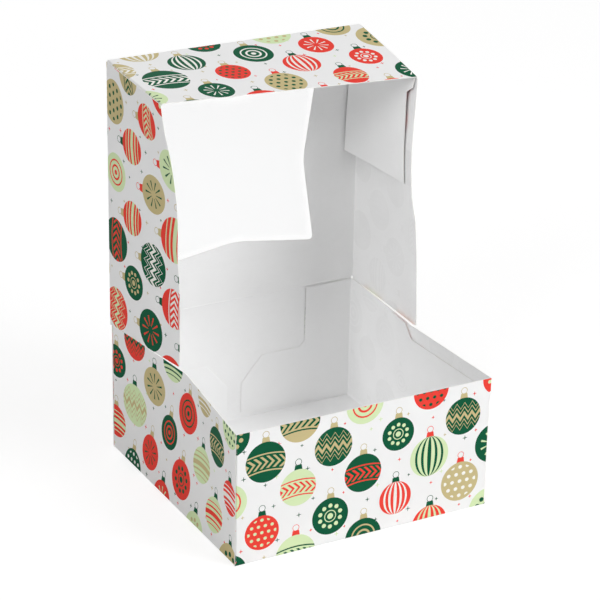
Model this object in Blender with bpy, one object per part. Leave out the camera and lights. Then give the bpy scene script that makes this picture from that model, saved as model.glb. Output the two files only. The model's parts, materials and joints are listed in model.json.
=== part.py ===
"""Hinged paperboard bakery box with a film window in its lid, standing open.

The box is folded from one die-cut blank. Each panel and glue tab of the blank is its own solid, with a
narrow gap at every crease, and the clear window film is a solid of its own behind the lid panel.

Metres, +Z up. X runs along the hinge, the front wall faces -Y, and the origin is under the middle of the
floor. The lid's panels hang from an empty on the hinge axis and are drawn with the lid standing upright.
"""

import math

import bmesh
import bpy
from mathutils import Vector

# Sheet materials, and the gap between sheets that touch or meet at a crease
BOARD = 0.0005
FILM = 0.0002
GAP = 0.0003

# Base tray, over its outer faces
BASE_WIDTH = 0.2032
BASE_DEPTH = 0.2032
BASE_HEIGHT = 0.1016

# The side walls are creased at 45 degrees from their lower corners, so that the box folds flat, and the
# creases let the middle of each rim stand inwards by this much
WALL_LEAN = 0.0085

# Glue tabs that the front wall sends back inside the side walls: lower than the rim in front, with an ear
# that rises to the rim behind the middle, and a slanted back end
FRONT_TAB_DROP = 0.0105
FRONT_TAB_STEP_SHARE = 0.5
FRONT_TAB_EAR_SLOPE = 0.0095
FRONT_TAB_TOP_SHARE = 0.66
FRONT_TAB_FOOT_SHARE = 0.43
TAB_FOOT_LIFT = 0.0010
TAB_RIM_DROP = 0.0009

# Glue tabs that the side walls send across the back wall: L-shaped, wide below and narrow above
BACK_TAB_APART = 0.0120
BACK_TAB_UPPER_WIDTH = 0.0395
BACK_TAB_SHOULDER_SHARE = 0.505
BACK_TAB_SHOULDER_NICK = 0.0050
BACK_TAB_CHAMFER_WIDTH = 0.0180
BACK_TAB_CHAMFER_HEIGHT = 0.0210
BACK_TAB_FOOT_RISE = 0.0045

# Lid: a shallow cover that closes over the outside of the base
LID_PLAY = 0.0004
LID_FRONT_PLAY = 0.0008
HINGE_SETBACK = 0.00035
SKIRT_AT_FRONT = 0.0889
SKIRT_AT_HINGE = 0.1012
SKIRT_END_RELIEF = 0.0024
FREE_CORNER = 0.0015

# Glue tabs that the lid's front flap sends back inside the lid's sides
LID_TAB_LENGTH = 0.0980
LID_TAB_BACK_MARGIN = 0.0012
LID_TAB_EDGE_MARGIN = 0.0010
LID_TAB_NECK_LENGTH = 0.0240
LID_TAB_STEP = 0.0075
LID_TAB_STEP_LENGTH = 0.0050
LID_TAB_TAPER = 0.0035

# Window: a square whose four sides each bend inwards at their middle
WINDOW_SIZE = 0.1340
WINDOW_NOTCH = 0.0085
WINDOW_TOWARD_FLAP = 0.0010
WINDOW_CORNER = 0.0050
WINDOW_BEND = 0.0300
FILM_OVERLAP = 0.0070
FILM_CORNER = 0.0020

# Facets of each rounded corner, and the share of a side that its rounding may take
ARC_STEPS = 5
ROUNDING_SHARE = 0.45

# Points nearer than this are one point
WELD = 0.000001

# Places worked out from the sizes above
HALF_WIDTH = BASE_WIDTH / 2
HALF_DEPTH = BASE_DEPTH / 2
SHEET_STEP = BOARD + GAP
HINGE_Y = HALF_DEPTH - BOARD / 2
HINGE_Z = BASE_HEIGHT + GAP + BOARD / 2
LID_TAB_X = HALF_WIDTH + LID_PLAY + BOARD / 2
LID_SIDE_X = LID_TAB_X + SHEET_STEP
LID_HALF_WIDTH = LID_SIDE_X - BOARD / 2 - GAP
FLAP_INNER = HINGE_Y + HALF_DEPTH + LID_FRONT_PLAY
LID_END = FLAP_INNER + BOARD

WHITE_BOARD = (0.86, 0.86, 0.85, 1.0)
PRINTED_BOARD = (0.90, 0.89, 0.88, 1.0)
CLEAR_FILM = (0.96, 0.97, 0.98, 1.0)


def clear_scene():
    for obj in list(bpy.data.objects):
        bpy.data.objects.remove(obj, do_unlink=True)


def make_material(name, colour, roughness, transmission=0.0):
    """A Principled finish for one kind of sheet."""
    material = bpy.data.materials.new(name)
    material.use_nodes = True
    shader = material.node_tree.nodes["Principled BSDF"]
    shader.inputs["Base Color"].default_value = colour
    shader.inputs["Roughness"].default_value = roughness
    shader.inputs["Metallic"].default_value = 0.0
    shader.inputs["Transmission Weight"].default_value = transmission
    material.diffuse_color = colour
    return material


def corner_arc(before, here, after, radius):
    """Points of the arc that rounds one corner, from the side behind it to the side ahead."""
    back, ahead = before - here, after - here
    half_angle = back.angle(ahead) / 2
    reach = min(radius / math.tan(half_angle), ROUNDING_SHARE * min(back.length, ahead.length))
    centre = here + (back.normalized() + ahead.normalized()).normalized() * reach / math.cos(half_angle)
    spoke = here + back.normalized() * reach - centre
    turn = math.pi - 2 * half_angle
    side = -1.0 if back.cross(ahead) > 0 else 1.0
    steps = [side * turn * step / ARC_STEPS for step in range(ARC_STEPS + 1)]
    return [
        centre + Vector((
            spoke.x * math.cos(a) - spoke.y * math.sin(a),
            spoke.x * math.sin(a) + spoke.y * math.cos(a),
        ))
        for a in steps
    ]


def rounded(corners):
    """Outline through (x, y, radius) corners; a corner of radius zero stays sharp."""
    places = [Vector(corner[:2]) for corner in corners]
    points = []
    for i, (_, _, radius) in enumerate(corners):
        if radius == 0:
            points.append(places[i])
        else:
            points += corner_arc(places[i - 1], places[i], places[(i + 1) % len(places)], radius)
    return points


def mirrored(corners):
    """The same outline on the other side of x = 0."""
    return [(-x, y, radius) for x, y, radius in reversed(corners)]


def cut_sheet(collection, name, outlines, thickness, material, location, turn, parent=None):
    """A flat sheet: a filled 2D curve through the outlines, the first its edge and the others its holes."""
    curve = bpy.data.curves.new(name, "CURVE")
    curve.dimensions = "2D"
    curve.fill_mode = "BOTH"
    curve.extrude = thickness / 2
    for corners in outlines:
        points = rounded(corners)
        spline = curve.splines.new("POLY")
        spline.points.add(len(points) - 1)
        for slot, point in zip(spline.points, points):
            slot.co = (point.x, point.y, 0.0, 1.0)
        spline.use_cyclic_u = True
    curve.materials.append(material)
    sheet = bpy.data.objects.new(name, curve)
    sheet.location = location
    sheet.rotation_euler = turn
    sheet.parent = parent
    collection.objects.link(sheet)
    return sheet


def fold_along_creases(sheet, creases, rise):
    """Cuts a flat sheet along its creases and lifts each point by rise(x, y) off the sheet's own plane."""
    bpy.context.view_layer.update()
    graph = bpy.context.evaluated_depsgraph_get()
    mesh = bpy.data.meshes.new_from_object(sheet.evaluated_get(graph))
    work = bmesh.new()
    work.from_mesh(mesh)
    bmesh.ops.remove_doubles(work, verts=work.verts, dist=WELD)
    for point, across in creases:
        everything = work.verts[:] + work.edges[:] + work.faces[:]
        bmesh.ops.bisect_plane(work, geom=everything, dist=WELD, plane_co=point, plane_no=across)
    for vert in work.verts:
        vert.co.z += rise(vert.co.x, vert.co.y)
    work.to_mesh(mesh)
    work.free()

    name = sheet.name
    folded = bpy.data.objects.new(name, mesh)
    folded.location = sheet.location
    folded.rotation_euler = sheet.rotation_euler
    sheet.users_collection[0].objects.link(folded)
    bpy.data.objects.remove(sheet, do_unlink=True)
    folded.name = name


def rectangle(x0, y0, x1, y1, radius=0.0):
    return [(x0, y0, radius), (x1, y0, radius), (x1, y1, radius), (x0, y1, radius)]


# Turns that stand a sheet up: its own x and y become the directions named
STANDING_ACROSS = (math.pi / 2, 0.0, 0.0)  # x to +X, y to +Z
STANDING_BACKWARD = (math.pi / 2, 0.0, math.pi / 2)  # x to +Y, y to +Z
STANDING_FORWARD = (math.pi / 2, 0.0, -math.pi / 2)  # x to -Y, y to +Z
LYING_FORWARD = (math.pi, 0.0, 0.0)  # x to +X, y to -Y


def build_tray(collection, board, printed):
    """Floor and four walls. The front and back walls run the full width, the side walls fit between."""
    inner_x = HALF_WIDTH - SHEET_STEP
    inner_y = HALF_DEPTH - SHEET_STEP
    floor = [rectangle(-inner_x, -inner_y, inner_x, inner_y)]
    cut_sheet(collection, "floor_panel", floor, BOARD, board, (0.0, 0.0, BOARD / 2), (0.0, 0.0, 0.0))

    across = [rectangle(-HALF_WIDTH, 0.0, HALF_WIDTH, BASE_HEIGHT)]
    front_y = -HALF_DEPTH + BOARD / 2
    cut_sheet(collection, "front_wall", across, BOARD, printed, (0.0, front_y, 0.0), STANDING_ACROSS)
    back_top = HINGE_Z - HINGE_SETBACK
    back = [rectangle(-HALF_WIDTH, 0.0, HALF_WIDTH, back_top)]
    cut_sheet(collection, "back_wall", back, BOARD, printed, (0.0, HINGE_Y, 0.0), STANDING_ACROSS)

    for name, hand in (("left_wall", -1), ("right_wall", 1)):
        build_side_wall(collection, name, hand, inner_y, printed)


def build_side_wall(collection, name, hand, half_length, printed):
    """A wall that its creases part into a middle triangle, hinged on the floor, and one at each corner.

    Its inward lean grows evenly with the distance from the nearest of the floor and the two corners.
    """
    def lean(y, z):
        return -hand * WALL_LEAN * min(z, HALF_DEPTH + y, HALF_DEPTH - y) / BASE_HEIGHT

    outline = [rectangle(-half_length, 0.0, half_length, BASE_HEIGHT)]
    place = (hand * (HALF_WIDTH - BOARD / 2), 0.0, 0.0)
    wall = cut_sheet(collection, name, outline, BOARD, printed, place, STANDING_BACKWARD)
    front_foot, back_foot = (-HALF_DEPTH, 0.0, 0.0), (HALF_DEPTH, 0.0, 0.0)
    creases = [(front_foot, (1, -1, 0)), (back_foot, (1, 1, 0)), ((0.0, 0.0, 0.0), (1, 0, 0))]
    fold_along_creases(wall, creases, lean)


def front_tab_outline():
    """Side view of a front glue tab, distance behind the front wall's face against height."""
    foot = BOARD + TAB_FOOT_LIFT
    shoulder = BASE_HEIGHT - FRONT_TAB_DROP
    rim = BASE_HEIGHT - TAB_RIM_DROP
    step = BASE_DEPTH * FRONT_TAB_STEP_SHARE
    top = BASE_DEPTH * FRONT_TAB_TOP_SHARE
    back_foot = BASE_DEPTH * FRONT_TAB_FOOT_SHARE
    return [
        (SHEET_STEP, foot, 0.0),
        (back_foot, foot, FREE_CORNER),
        (top, rim, FREE_CORNER),
        (step + FRONT_TAB_EAR_SLOPE, rim, 0.0),
        (step, shoulder, 0.0),
        (SHEET_STEP, shoulder, 0.0),
    ]


def back_tab_outline():
    """Front view of the right-hand back glue tab, x against z: an L with a chamfered lower arm."""
    crease = HALF_WIDTH - SHEET_STEP
    foot = BOARD + TAB_FOOT_LIFT
    rim = BASE_HEIGHT - TAB_RIM_DROP
    end = BACK_TAB_APART / 2
    neck = crease - BACK_TAB_UPPER_WIDTH
    shoulder = BASE_HEIGHT * BACK_TAB_SHOULDER_SHARE
    return [
        (crease, foot, 0.0),
        (crease, rim, 0.0),
        (neck, rim, FREE_CORNER),
        (neck, shoulder + BACK_TAB_SHOULDER_NICK, 0.0),
        (neck - BACK_TAB_SHOULDER_NICK, shoulder, 0.0),
        (end + BACK_TAB_CHAMFER_WIDTH, shoulder, FREE_CORNER),
        (end, shoulder - BACK_TAB_CHAMFER_HEIGHT, FREE_CORNER),
        (end, foot + BACK_TAB_FOOT_RISE, FREE_CORNER),
    ]


def build_base_tabs(collection, board):
    """Four glue tabs, each a sheet step inside its wall. A front tab leans with the wall's front triangle."""
    beside_x = HALF_WIDTH - BOARD / 2 - SHEET_STEP
    behind_y = HINGE_Y - SHEET_STEP
    lean = math.atan(WALL_LEAN / BASE_HEIGHT)
    front_tab = [front_tab_outline()]
    back_tab = back_tab_outline()
    hands = (("left", -1, mirrored(back_tab)), ("right", 1, back_tab))
    for side, hand, outline in hands:
        place = (hand * beside_x, -HALF_DEPTH, 0.0)
        turn = (math.pi / 2, 0.0, math.pi / 2 + hand * lean)
        cut_sheet(collection, side + "_front_glue_tab", front_tab, BOARD, board, place, turn)
        place = (0.0, behind_y, 0.0)
        cut_sheet(collection, side + "_back_glue_tab", [outline], BOARD, board, place, STANDING_ACROSS)


def window_outline(middle):
    """The window about the middle of the lid panel, x against the distance from the hinge."""
    far = WINDOW_SIZE / 2
    near = far - WINDOW_NOTCH
    compass = [(-1, -1), (0, -1), (1, -1), (1, 0), (1, 1), (0, 1), (-1, 1), (-1, 0)]
    corners = []
    for x, y in compass:
        at_corner = x != 0 and y != 0
        reach = far if at_corner else near
        corners.append((reach * x, middle + reach * y, WINDOW_CORNER if at_corner else WINDOW_BEND))
    return corners


def build_lid_top(collection, board, film, hinge):
    """Lid panel with its window, and the film that is glued over the window on the inside."""
    end = FLAP_INNER - GAP
    middle = (HINGE_SETBACK + end) / 2 + WINDOW_TOWARD_FLAP
    edge = rectangle(-LID_HALF_WIDTH, HINGE_SETBACK, LID_HALF_WIDTH, end)
    outlines = [edge, window_outline(middle)]
    cut_sheet(collection, "lid_panel", outlines, BOARD, board, (0.0, 0.0, 0.0), STANDING_ACROSS, hinge)

    half = WINDOW_SIZE / 2 + FILM_OVERLAP
    pane = [rectangle(-half, middle - half, half, middle + half, FILM_CORNER)]
    place = (0.0, -BOARD / 2 - GAP - FILM / 2, 0.0)
    cut_sheet(collection, "window_film", pane, FILM, film, place, STANDING_ACROSS, hinge)


def lid_side_outline():
    """Side view of a lid side, distance forward of the lid panel against distance from the hinge."""
    back = -BOARD / 2
    return [
        (back, HINGE_SETBACK, 0.0),
        (SKIRT_AT_HINGE, HINGE_SETBACK + SKIRT_END_RELIEF, FREE_CORNER),
        (SKIRT_AT_FRONT, LID_END, 0.0),
        (back, LID_END, 0.0),
    ]


def lid_tab_outline():
    """Side view of a lid glue tab: full width at the flap, then a step in, then a slow taper."""
    crease = FLAP_INNER - GAP
    back = BOARD / 2 + GAP + LID_TAB_BACK_MARGIN
    neck = SKIRT_AT_FRONT - LID_TAB_EDGE_MARGIN
    neck_end = crease - LID_TAB_NECK_LENGTH
    tail = crease - LID_TAB_LENGTH
    return [
        (back, tail, FREE_CORNER),
        (neck - LID_TAB_STEP - LID_TAB_TAPER, tail, FREE_CORNER),
        (neck - LID_TAB_STEP, neck_end - LID_TAB_STEP_LENGTH, FREE_CORNER),
        (neck, neck_end, FREE_CORNER),
        (neck, crease, 0.0),
        (back, crease, 0.0),
    ]


def build_lid_skirt(collection, board, printed, hinge):
    """Front flap, the two sides, and the glue tabs that tie the flap's ends to the sides."""
    flap = [rectangle(-LID_HALF_WIDTH, -BOARD / 2, LID_HALF_WIDTH, SKIRT_AT_FRONT)]
    place = (0.0, 0.0, FLAP_INNER + BOARD / 2)
    cut_sheet(collection, "lid_front_flap", flap, BOARD, printed, place, LYING_FORWARD, hinge)
    side = [lid_side_outline()]
    tab = [lid_tab_outline()]
    for name, hand in (("left", -1), ("right", 1)):
        place = (hand * LID_SIDE_X, 0.0, 0.0)
        cut_sheet(collection, "lid_" + name + "_side", side, BOARD, printed, place, STANDING_FORWARD, hinge)
        place = (hand * LID_TAB_X, 0.0, 0.0)
        cut_sheet(collection, "lid_" + name + "_glue_tab", tab, BOARD, board, place, STANDING_FORWARD, hinge)


def build_box():
    clear_scene()
    collection = bpy.data.collections.new("bakery_box")
    bpy.context.scene.collection.children.link(collection)
    board = make_material("white_board", WHITE_BOARD, 0.75)
    printed = make_material("printed_board", PRINTED_BOARD, 0.45)
    film = make_material("clear_film", CLEAR_FILM, 0.08, transmission=1.0)

    hinge = bpy.data.objects.new("lid_hinge", None)
    hinge.location = (0.0, HINGE_Y, HINGE_Z)
    collection.objects.link(hinge)

    build_tray(collection, board, printed)
    build_base_tabs(collection, board)
    build_lid_top(collection, printed, film, hinge)
    build_lid_skirt(collection, board, printed, hinge)


build_box()
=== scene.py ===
"""Looks of a printed paperboard bakery box that stands open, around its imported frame.

Every panel of the board is a thin bent sheet. Its mid-surface is worked out as an array over the panel's own
place, across and along in millimetres, and the same place is kept on the mesh for the print to follow.
"""

import json
import math

import bmesh
import bpy
import numpy as np
from mathutils import Matrix, Vector


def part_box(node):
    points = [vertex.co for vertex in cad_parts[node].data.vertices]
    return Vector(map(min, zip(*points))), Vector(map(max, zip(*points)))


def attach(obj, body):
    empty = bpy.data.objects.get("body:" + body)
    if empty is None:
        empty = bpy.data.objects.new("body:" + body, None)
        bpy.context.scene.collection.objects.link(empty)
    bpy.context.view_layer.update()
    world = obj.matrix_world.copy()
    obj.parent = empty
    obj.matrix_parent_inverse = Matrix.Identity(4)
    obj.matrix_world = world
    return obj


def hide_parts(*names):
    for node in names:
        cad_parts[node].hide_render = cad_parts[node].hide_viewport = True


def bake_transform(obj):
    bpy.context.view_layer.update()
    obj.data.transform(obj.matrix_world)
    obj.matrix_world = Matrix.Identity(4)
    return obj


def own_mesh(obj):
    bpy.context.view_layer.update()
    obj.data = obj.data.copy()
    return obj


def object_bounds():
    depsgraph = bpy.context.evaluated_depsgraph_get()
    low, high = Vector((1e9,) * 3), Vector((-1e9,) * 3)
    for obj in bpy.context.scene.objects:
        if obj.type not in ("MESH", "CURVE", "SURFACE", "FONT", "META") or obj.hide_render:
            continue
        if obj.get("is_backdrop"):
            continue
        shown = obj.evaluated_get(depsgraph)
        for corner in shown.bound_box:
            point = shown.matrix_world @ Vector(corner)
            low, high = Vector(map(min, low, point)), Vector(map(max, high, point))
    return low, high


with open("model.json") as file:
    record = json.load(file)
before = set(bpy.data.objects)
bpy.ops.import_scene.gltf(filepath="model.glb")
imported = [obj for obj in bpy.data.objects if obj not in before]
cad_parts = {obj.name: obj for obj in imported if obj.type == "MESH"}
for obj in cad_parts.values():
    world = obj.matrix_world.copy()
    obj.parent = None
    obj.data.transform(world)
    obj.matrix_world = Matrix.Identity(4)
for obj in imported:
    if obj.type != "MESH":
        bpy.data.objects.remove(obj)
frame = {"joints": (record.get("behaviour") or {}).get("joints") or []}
cad_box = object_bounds()
SIDE_NAMES = {-1: "left", 1: "right"}  # by the sign of x

# Sizes read from the frame, in millimetres
MM = 0.001


def frame_box(node):
    low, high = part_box(node)
    return np.array(low) / MM, np.array(high) / MM


TRAY_LOW, TRAY_HIGH = frame_box("front_wall")
BACK_HIGH = frame_box("back_wall")[1]
HALF_WIDTH = TRAY_HIGH[0]
FRONT = TRAY_LOW[1]
BACK = BACK_HIGH[1]
RIM = TRAY_HIGH[2]
BOARD = TRAY_HIGH[1] - TRAY_LOW[1]
WALL_TOP = BACK_HIGH[2]
TAB_FOOT, TAB_TOP = (frame_box("left_back_glue_tab")[k][2] for k in (0, 1))

HINGE_Y, HINGE_Z = np.array(frame["joints"][0]["pos_m"][1:]) / MM
PANEL_LOW = frame_box("lid_panel")[0]
SIDE_LOW, SIDE_HIGH = frame_box("lid_right_side")
FLAP_LOW, FLAP_HIGH = frame_box("lid_front_flap")
FILM_LOW, FILM_HIGH = frame_box("window_film")
LID_TOP = FLAP_HIGH[2]
LID_LENGTH = LID_TOP - HINGE_Z
SKIRT_AT_FLAP = HINGE_Y - FLAP_LOW[1]
SKIRT_AT_HINGE = HINGE_Y - SIDE_LOW[1]
FILM = FILM_HIGH[1] - FILM_LOW[1]

# How the board is folded and bent, in millimetres
FOLD = 1.3  # outer radius of a fold
CORNER_FOLD = 0.45  # radius of the upright folds at the front corners, at the board's middle
GLUE_STEP = BOARD + 0.06  # from a wall's middle to that of the tab behind it
CREASE_ROUNDING = 5.0  # width over which a side wall's diagonal creases are rounded
CREASE_DEPTH = 0.2  # how far the lid's crease is pressed in
LEFT_LEAN, RIGHT_LEAN = 11.5, 4.5  # how far each side wall's rim stands in at its middle
SIDE_SETBACK = 1.0  # the side walls end this short of the front wall's face
LEFT_DROOP, RIGHT_DROOP = 3.4, 9.3  # degrees that each end of the lid's flap hangs below level

# How far the free edge of each lid side bows in, by the height above the hinge. Between the panel and that
# edge a side stands in by that times the share of the depth to the bow's power.
LEFT_BOW = ((0, 8.2), (40, 9.8), (63, 10.3), (86, 9.6), (111, 10.5), (127, 10), (142, 8.7), (157, 6.8),
            (179, 2.6), (204, 0))
RIGHT_BOW = ((0, 2.7), (59, 3), (74, 3.5), (82, 4.2), (90, 5.6), (98, 6.7), (108, 7.3), (121, 7.6),
             (136, 7.1), (151, 5.9), (165, 4.5), (180, 3.1), (191, 2.4), (204, 2.2))
BOW_POWER = 1.6
# The lower end of each lid side: how far above the hinge it starts, its rise towards the free edge, and the
# power of the share of the depth that the rise follows
LEFT_FOOT, RIGHT_FOOT = (-0.6, 6.0, 0.5), (-2.2, 0.7, 0.6)
FLAP_CLEARANCE = 0.65  # from the flap's middle down to the upper ends of the sides

# The glue tabs: how far the rear edge of a lid tab stands off its side, by the distance from the flap, and
# how far the free edge of the right one does
TAB_STANDOFF = ((0, 0), (20, 3.4), (48, 7), (98, 10.3))
TAB_SLIT = ((0, 0), (12, 1.7), (60, 1.3), (98, 0.5))
TAB_AJAR = 0.5  # how far the top of a tray tab stands off its wall
AJAR_RUN = 12.0  # distance from its fold over which it comes to that
ARM_AJAR = 0.3  # share of it at the arm of a back tab
PRESSED_EDGE = 1.8  # width of a back tab's edge that is pressed thin
PRESSED_SHARE = 0.5  # share of the thickness that is pressed away at the very edge
SHOULDER_DROP = 9.6  # from a front tab's top down to its shoulder

# The window's cuts, from the film behind it
WINDOW_RISE = 1.3  # from the film's middle up to the window's
FILM_OVERLAP = 7.0
WINDOW_NOTCH = 10.0
WINDOW_CORNER, WINDOW_BEND = 5.0, 9.0  # how far from a corner, and from a side's middle, the rounding starts

# Where the panels lie on the printed sheet, which is far larger than one box
FLAP_PRINT = 2000
SIDE_PRINT, LID_SIDE_PRINT = 2400, 1000
FLOOR_PRINT = 4000
BACK_TAB_PRINT = (1200, 600)
LID_TAB_PRINT = 600

MID_FOLD = FOLD - BOARD / 2
ARC = MID_FOLD * math.pi / 2
FOLD_GAIN = ARC - MID_FOLD - BOARD / 2  # how much longer the way up round a lower fold is than the height
FOLD_STEPS = 7
HAIR = 0.02  # two stations this near each other make a square step in an outline
MERGE_DISTANCE = MM / 500  # points nearer than this, in metres, are merged
SHARP_ANGLE = 38  # degrees past which an edge is shaded sharp
WALL_X = HALF_WIDTH - BOARD / 2
WALL_Y = BACK - BOARD / 2
FRONT_Y = FRONT + BOARD / 2
TAB_X = WALL_X - GLUE_STEP
TAB_Y = WALL_Y - GLUE_STEP
FRONT_CREASE = FRONT_Y + MID_FOLD
BACK_CREASE = TAB_Y - MID_FOLD
LID_SIDE_X = SIDE_HIGH[0] - BOARD / 2
LID_TAB_X = LID_SIDE_X - GLUE_STEP
FLAP_Z = LID_TOP - BOARD / 2
LID_CREASE_Y = WALL_Y - MID_FOLD
FLAP_FREE_Y = FLAP_LOW[1]
WINDOW_MIDDLE = (FILM_LOW[2] + FILM_HIGH[2]) / 2 + WINDOW_RISE
WINDOW_HALF = (FILM_HIGH[0] - FILM_LOW[0]) / 2 - FILM_OVERLAP
# The print runs on from the flap over its fold, and from there down the lid and the back wall
LID_PRINT = FLAP_PRINT + LID_CREASE_Y + ARC + FLAP_Z - MID_FOLD


# Lines and grids

def soft_min(a, b, width):
    """The lesser of a and b, with the corner between them rounded over the width."""
    t = np.clip(0.5 + (b - a) / (2 * width), 0, 1)
    return b + (a - b) * t - width * t * (1 - t)


def spaced(*stretches):
    """Stations along a line: each stretch is (start, end, pieces), and two that meet share a station."""
    stations = [np.linspace(start, end, pieces + 1) for start, end, pieces in stretches]
    return np.concatenate([stations[0]] + [line[1:] for line in stations[1:]])


def through(points, where):
    """A smooth curve through the points: cubic pieces whose slope at each point is that of its neighbours."""
    known, value = np.array(points, float).T
    slope = np.gradient(value, known)
    piece = np.clip(np.searchsorted(known, where) - 1, 0, len(known) - 2)
    span = known[piece + 1] - known[piece]
    t = np.clip((where - known[piece]) / span, 0, 1)
    return ((2 * t**3 - 3 * t**2 + 1) * value[piece] + (3 * t**2 - 2 * t**3) * value[piece + 1]
            + span * ((t**3 - 2 * t**2 + t) * slope[piece] + (t**3 - t**2) * slope[piece + 1]))


def around_fold(distance, radius=MID_FOLD):
    """A line that turns a right angle round a quarter circle of the radius: straight for a negative distance,
    then the quarter circle, then straight. Gives how far it is past the corner of the two straight lines
    along the first of them, and how far along the second."""
    turn = np.clip(distance / radius, 0, math.pi / 2)
    first = radius * (np.sin(turn) - 1) + np.minimum(distance, 0)
    second = radius * (1 - np.cos(turn)) + np.maximum(distance - radius * math.pi / 2, 0)
    return first, second


def on_fold(distance):
    """1 in the middle of a fold's quarter circle, 0 from its ends on."""
    return np.clip(np.sin(np.clip(distance / ARC, 0, 1) * math.pi), 0, 1)


def stack(*parts):
    return np.stack(np.broadcast_arrays(*parts), axis=-1)


def ruled(low, high, shares):
    """Rows that run from low to high, one for each station, all at the same shares of the way."""
    return low[:, None] + (high - low)[:, None] * shares[None, :]


# Sheets

def board_normals(mid, ring):
    """Unit normals of a grid surface, from its differences along both parameters."""
    if ring:
        along = np.roll(mid, -1, 0) - np.roll(mid, 1, 0)
    else:
        along = np.gradient(mid, axis=0)
    across = np.gradient(mid, axis=1)
    normal = np.cross(along, across)
    return normal / np.maximum(np.linalg.norm(normal, axis=2, keepdims=True), 1e-9)


def grid_faces(rows, columns, offset, ring):
    """Corner numbers of the quads of a rows by columns grid whose first vertex is number offset."""
    first = np.arange(rows if ring else rows - 1)
    i, j = np.meshgrid(first, np.arange(columns - 1), indexing="ij")
    below, above = i * columns, ((i + 1) % rows) * columns
    return offset + np.stack([below + j, above + j, above + j + 1, below + j + 1], axis=-1).reshape(-1, 4)


def edge_loops(rows, columns, ring):
    """The grid's border as one loop of vertex numbers or, on a ring, its inner and outer loops."""
    number = np.arange(rows * columns).reshape(rows, columns)
    if ring:
        return [number[:, 0][::-1], number[:, -1]]
    return [np.concatenate([number[:-1, 0], number[-1, :-1], number[:0:-1, -1], number[0, :0:-1]])]


def tidy_mesh(mesh):
    """Merges points that fall together, turns the faces outwards and shades the sheet smooth up to its
    edges."""
    work = bmesh.new()
    work.from_mesh(mesh)
    bmesh.ops.remove_doubles(work, verts=work.verts, dist=MERGE_DISTANCE)
    bmesh.ops.recalc_face_normals(work, faces=work.faces)
    work.to_mesh(mesh)
    work.free()
    mesh.shade_smooth()
    mesh.set_sharp_from_angle(angle=math.radians(SHARP_ANGLE))


def add_object(name, data):
    thing = bpy.data.objects.new(name, data)
    bpy.context.scene.collection.objects.link(thing)
    return thing


def sheet_object(name, mid, place, outward, materials, thickness=BOARD, ring=False):
    """A closed sheet around a grid of middle points: the middle plus and minus half the thickness along the
    grid's normal, and a strip of cut edge round each border. The thickness is one number or one for each
    point. The face towards outward gets the first material, the other face the second and the edges the
    third."""
    rows, columns = mid.shape[:2]
    normal = board_normals(mid, ring)
    if np.sum(normal * np.asarray(outward, float)) < 0:
        normal = -normal
    count = rows * columns
    half = normal * np.broadcast_to(thickness, (rows, columns))[..., None] / 2
    outer, inner = (mid + half).reshape(-1, 3), (mid - half).reshape(-1, 3)
    front = grid_faces(rows, columns, 0, ring)
    back = grid_faces(rows, columns, count, ring)[:, ::-1]
    strips = []
    for loop in edge_loops(rows, columns, ring):
        ahead = np.roll(loop, -1)
        strips.append(np.stack([loop, loop + count, ahead + count, ahead], axis=1))
    faces = np.concatenate([front, back] + strips)
    slots = np.concatenate([np.zeros(len(front), int), np.ones(len(back), int),
                            np.full(len(faces) - len(front) - len(back), 2)])

    mesh = bpy.data.meshes.new(name)
    mesh.from_pydata(np.concatenate([outer, inner]) * MM, [], faces.tolist())
    mesh.polygons.foreach_set("material_index", slots.astype(np.int32))
    attribute = mesh.attributes.new("board_place", "FLOAT_VECTOR", "POINT")
    spots = np.tile(place.reshape(-1, 3), (2, 1))
    attribute.data.foreach_set("vector", spots.astype(np.float32).ravel())
    for material in materials:
        mesh.materials.append(material)
    tidy_mesh(mesh)
    return add_object(name, mesh)


def place_on(piece, body, node=None, flatten=None):
    """Puts a piece on its body and in place of its solid. A piece given flatten, an axis and a point of its
    plane, gets a mesh of its own; flatten is not used otherwise."""
    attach(piece, body)
    if node:
        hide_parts(node)
    if flatten:
        axis, anchor = flatten
        tuple(np.array(anchor) * MM)
        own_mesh(piece)
        tuple(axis)


# Tray

def side_wall_lean(hand, y, z):
    """How far a side wall stands in: its lean times the least of the distances to the floor and to the two
    upright folds, over the height. The creases where two of them are equal are rounded."""
    lean = LEFT_LEAN if hand < 0 else RIGHT_LEAN
    to_fold = soft_min(y - FRONT_CREASE, BACK_CREASE - y, CREASE_ROUNDING)
    return lean * np.maximum(soft_min(z, to_fold, CREASE_ROUNDING), 0) / RIM


def make_floor(board):
    """A flat square between the four lower folds."""
    half = WALL_X - MID_FOLD
    across = np.linspace(-half, half, 15)
    along = np.linspace(FRONT_CREASE, WALL_Y - MID_FOLD, 15)
    x, y = np.meshgrid(across, along, indexing="ij")
    piece = sheet_object("tray_floor", stack(x, y, BOARD / 2), stack(x, FLOOR_PRINT + y, 0), (0, 0, -1),
                         board)
    place_on(piece, "base", "floor_panel")


def make_front_wall(board):
    """Goes up from the floor round a fold. Its ends reach the glue tabs' folds and, above and below the
    tabs, the corners."""
    shoulder = frame_box("left_front_glue_tab")[1][2] - SHOULDER_DROP
    step = shoulder + FOLD_GAIN
    rise = spaced((0, ARC, FOLD_STEPS), (ARC, step, 20), (step, step + HAIR, 1),
                  (step + HAIR, RIM + FOLD_GAIN, 4))
    first, second = around_fold(rise)
    z = BOARD / 2 + second
    end = np.where((z > TAB_FOOT) & (z <= shoulder + HAIR / 2), TAB_X - CORNER_FOLD, HALF_WIDTH)
    x = ruled(-end, end, np.linspace(0, 1, 41))
    z = z[:, None]
    piece = sheet_object("tray_front", stack(x, FRONT_Y - first[:, None], z),
                         stack(x, z, on_fold(rise)[:, None]), (0, -1, 0), board)
    place_on(piece, "base", "front_wall")


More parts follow.
